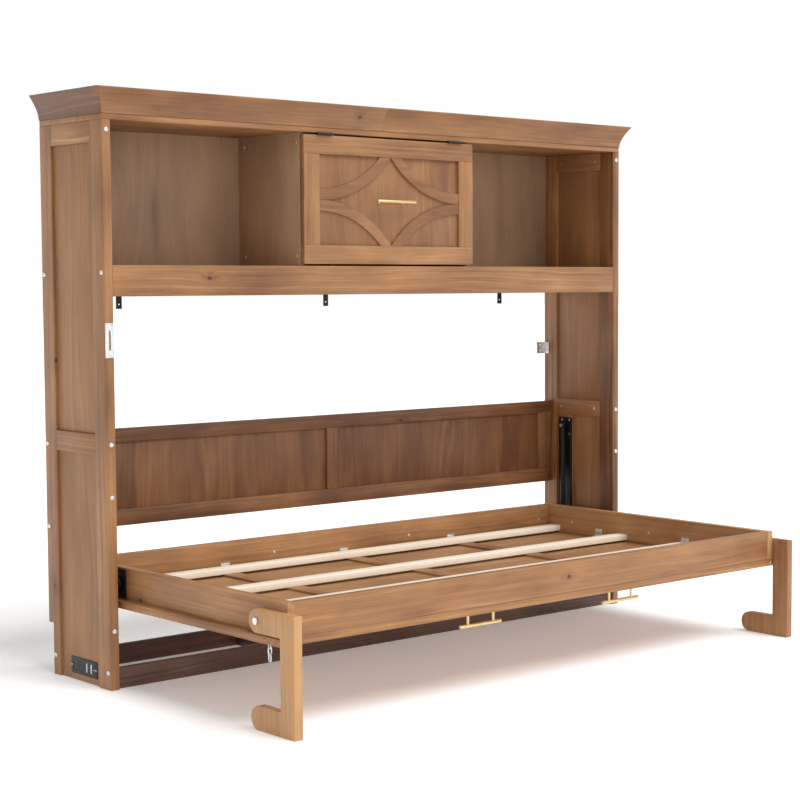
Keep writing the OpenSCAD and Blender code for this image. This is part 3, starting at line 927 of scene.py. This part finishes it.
@dataclass
class Steelwork:
    """Plates, channels and springs: CAD shapes with eased edges, and their screws."""

    parts: dict[str, tuple[Finish, float]] = field(
        default_factory=lambda: {
            "pivot_plates": (Finish.BLACK_STEEL, 0.8),
            "spring_channels": (Finish.BLACK_STEEL, 0.5),
            "spring_tubes": (Finish.BLACK_STEEL, 0.8),
            "spring_levers": (Finish.BLACK_STEEL, 0.6),
            "bed_plates": (Finish.BLACK_STEEL, 0.5),
            "shelf_wall_tabs": (Finish.BLACK_STEEL, 0.4),
            "spring_rods": (Finish.ZINC, 0.5),
            "wall_brackets": (Finish.ZINC, 0.5),
            "latch_plate": (Finish.ZINC, 0.4),
            "rail_clips": (Finish.ZINC, 0.4),
            "chain_eye": (Finish.ZINC, 0.0),
            "leg_bolts": (Finish.ZINC, 0.8),
            "door_hinge_leaves": (Finish.BLACK_STEEL, 0.3),
            "door_hinge_flaps": (Finish.BLACK_STEEL, 0.3),
        }
    )
    channel_web_mm: float = 3.0
    screw_in_mm: float = 12.0
    screw_down_mm: tuple[float, float] = (10.0, 62.0)
    stud_down_mm: float = 30.0
    smallest_bolt_mm: float = 6.0

    def build(self) -> None:
        """Makes each steel piece from its node."""
        for node, (finish, edge) in self.parts.items():
            piece = from_cad(node, node + "_metal")
            if edge:
                ease(piece, edge * MM, 2, 50.0)
            stand_in(settle(piece, 40.0), finish, node)

    def spring_fittings(self) -> None:
        """Puts small heads on the channels, and a nut on each spring's stud."""
        spots, nuts = [], []
        for low, high in island_boxes("spring_channels"):
            side = math.copysign(1, low.x)
            out = Vector((-side, 0, 0))
            web = (low.x if side < 0 else high.x) - side * self.channel_web_mm * MM
            for y in (low.y + self.screw_in_mm * MM, high.y - self.screw_in_mm * MM):
                for down in self.screw_down_mm:
                    spots.append((Vector((web, y, high.z - down * MM)), out))
            stud = high.x if side < 0 else low.x
            level = high.z - self.stud_down_mm * MM
            middle = Vector((stud - side * 0.4 * MM, (low.y + high.y) / 2, level))
            nuts.append(drum(7 * MM, 2.2 * MM, middle, "X", 6, 0.4 * MM))
        heads = Screws(4.8, 2.4, 1.6, 4).place("channel_screw_heads", spots)
        alongside(heads, Finish.ZINC, "cabinet")
        alongside(settle(join("stud_nuts", nuts)), Finish.ZINC, "cabinet")

    def heads(self) -> None:
        """Puts hex-socket heads outside, and small cross-head screws inside."""
        for node in ("cabinet_bolts", "bed_screws"):
            spots = head_spots(node)
            limit = self.smallest_bolt_mm * MM
            big = [(seat, out) for seat, out, radius in spots if radius > limit]
            small = [(seat, out) for seat, out, radius in spots if radius <= limit]
            screws = Screws(4.8, 1.5, 1.8, 4).place(node + "_small_heads", small)
            if big:
                bolts = Screws(7.0, 3.0, 2.6).place(node + "_heads", big)
                stand_in(bolts, Finish.ZINC, node)
                alongside(screws, Finish.ZINC, BODY_OF[node])
            else:
                stand_in(screws, Finish.ZINC, node)


# ---- stage ----


@dataclass
class Studio:
    """Pale floor, soft lights and the camera."""

    camera_place: tuple[float, float, float] = (-3.7808, -4.3844, 1.1872)
    pitch_deg: float = 4.036
    yaw_deg: float = 42.562
    roll_deg: float = -0.141
    lens_mm: float = 82.53
    shift: tuple[float, float] = (-0.123, 0.0115)
    key: float = 2.5
    key_width_deg: float = 40.0
    key_height_deg: float = 57.0
    key_side_deg: float = 18.0
    overhead: float = 0.36

    def camera(self) -> None:
        """Makes the camera and points it along its pitch, yaw and roll."""
        data = bpy.data.cameras.new("camera")
        data.lens = self.lens_mm
        data.sensor_width = 36.0
        data.shift_x, data.shift_y = self.shift
        data.clip_end = 200.0
        eye = bpy.data.objects.new("camera", data)
        aim = Matrix.Rotation(-math.radians(self.yaw_deg), 4, "Z")
        tilt = Matrix.Rotation(math.radians(90 - self.pitch_deg), 4, "X")
        roll = Matrix.Rotation(math.radians(self.roll_deg), 4, "Z")
        eye.matrix_world = Matrix.Translation(self.camera_place) @ aim @ tilt @ roll
        bpy.context.scene.collection.objects.link(eye)
        bpy.context.scene.camera = eye

    def light(self) -> None:
        """Adds one wide soft key light, high in front and a little to the right."""
        data = bpy.data.lights.new("key", "SUN")
        data.energy = self.key
        data.angle = math.radians(self.key_width_deg)
        lamp = bpy.data.objects.new("key", data)
        tip, side = math.radians(90 - self.key_height_deg), math.radians(self.key_side_deg)
        lamp.rotation_euler = (tip, 0, side)
        bpy.context.scene.collection.objects.link(lamp)

    def surround(self) -> None:
        """Makes the world white near the horizon and dimmer overhead."""
        world = bpy.context.scene.world or bpy.data.worlds.new("world")
        bpy.context.scene.world = world
        world.use_nodes = True
        tree = world.node_tree
        tree.nodes.clear()
        up = add(tree, "TexCoord").outputs["Generated"]
        height = add(tree, "SeparateXYZ", links={0: up}).outputs[2]
        spread = {1: 0.17, 2: 0.40, 3: 1.0, 4: self.overhead, "interpolation_type": "SMOOTHSTEP"}
        strength = add(tree, "MapRange", spread, {0: height})
        sky = add(tree, "Background", {"Color": linear("#FFFFFF")}, {"Strength": strength.outputs[0]})
        add(tree, "OutputWorld", links={"Surface": sky.outputs[0]})

    def build(self) -> None:
        """Sets the floor, the surround and the key light."""
        bpy.ops.object.select_all(action="DESELECT")
        bpy.ops.mesh.primitive_plane_add(size=120.0, location=(0, 0, -0.0005))
        floor = bpy.context.object
        floor.name = "floor"
        # A faint glow, as of a light table, keeps the shadow under the bed pale
        values = {
            "Roughness": 0.85, "Specular IOR Level": 0.1, "Base Color": linear("#FCFCFC"),
            "Emission Color": linear("#FFFFFF"), "Emission Strength": 0.22,
        }
        floor.data.materials.append(shader("pale_floor", values)[0])
        self.surround()
        self.light()
        bpy.context.scene.view_settings.view_transform = "Standard"


def main() -> None:
    """Builds every part of the bed in order."""
    logging.basicConfig(level=logging.INFO, format="%(message)s")
    studio = Studio()
    studio.camera()
    cabinet = {
        "left_front_stile": Grain.Z, "left_rear_stile": Grain.Z, "left_side_rails": Grain.Y,
        "right_rear_stile": Grain.Z, "right_side_rails": Grain.Y,
        "top_board": Grain.X, "crown_front_left": Grain.X, "crown_front_right": Grain.X,
        "hutch_front_rail": Grain.X, "hutch_rear_rail": Grain.X,
        "door_stiles": Grain.Z, "door_rails": Grain.X, "hardware_battens": Grain.Z,
    }
    Joinery(Finish.WALNUT, cabinet).build()
    headboard = {"headboard_rails": Grain.X, "headboard_stiles": Grain.Z}
    # The headboard is made darker: painted shade of the hutch above it
    Joinery(Finish.WALNUT, headboard, painted_light_and_tone=-0.28).build()
    # The crown's returns are made darker: painted shade on the sides turned from the light
    Joinery(Finish.WALNUT, {"crown_returns": Grain.Y}, painted_light_and_tone=-0.50).build()
    # The right front stile is made darker: painted shade
    Joinery(Finish.WALNUT, {"right_front_stile": Grain.Z}, painted_light_and_tone=-0.22).build()
    # The bed's rails and right leg are made a little lighter: painted light from above
    bed = {
        "bed_left_rail": Grain.Y, "bed_front_rail": Grain.X,
        "bed_rear_rail": Grain.X, "right_leg": Grain.Z,
    }
    Joinery(Finish.WALNUT, bed, edge_mm=1.8, painted_light_and_tone=0.06).build()
    # The bed's right rail is made lighter still: painted light
    Joinery(Finish.WALNUT, {"bed_right_rail": Grain.Y}, edge_mm=1.8, painted_light_and_tone=0.30).build()
    # The left leg is made lighter: painted light on its lit faces
    Joinery(Finish.WALNUT, {"left_leg": Grain.Z}, edge_mm=1.8, painted_light_and_tone=0.34).build()
    # The closing panel's rails are made a little darker: painted shade
    closing = {"panel_long_rails": Grain.X, "panel_cross_rails": Grain.Y}
    Joinery(Finish.WALNUT, closing, edge_mm=2.2, painted_light_and_tone=-0.04).build()
    ply = {"left_side_panels": Grain.Z, "right_side_panels": Grain.Z}
    Joinery(Finish.PANEL_PLY, ply, edge_mm=0.5).build()
    Joinery(Finish.PANEL_PLY, {"door_panel": Grain.Z}, edge_mm=0.5, painted_light_and_tone=-0.15).build()
    Joinery(Finish.PANEL_PLY, {"door_bands": Grain.X}, edge_mm=0.5, painted_light_and_tone=-0.10).build()
    # The panel's fields are made lighter: painted light on their upward faces
    Joinery(Finish.PANEL_PLY, {"panel_fields": Grain.X}, edge_mm=0.5, painted_light_and_tone=0.20).build()
    # The headboard's panels are made darker: painted shade of the hutch above them
    Joinery(Finish.PANEL_PLY, {"headboard_panels": Grain.Z}, edge_mm=0.5, painted_light_and_tone=-0.30).build()
    hutch = {"hutch_shelf": Grain.X, "hutch_back_panel": Grain.Z, "left_divider": Grain.Z,
             "right_divider": Grain.Z}
    Joinery(Finish.HUTCH_PLY, hutch, edge_mm=0.5).build()
    espresso = {"base_front_rail": Grain.X, "base_rear_rail": Grain.X, "base_cross_rails": Grain.Y}
    Joinery(Finish.ESPRESSO, espresso).build()
    Joinery(Finish.PINE, {"bed_slats": Grain.X}, edge_mm=2.0).build()
    steel = Steelwork()
    steel.build()
    steel.spring_fittings()
    steel.heads()
    BarPull().build()
    Outlet().build()
    Chain().build()
    studio.build()


if __name__ == "__main__":
    main()
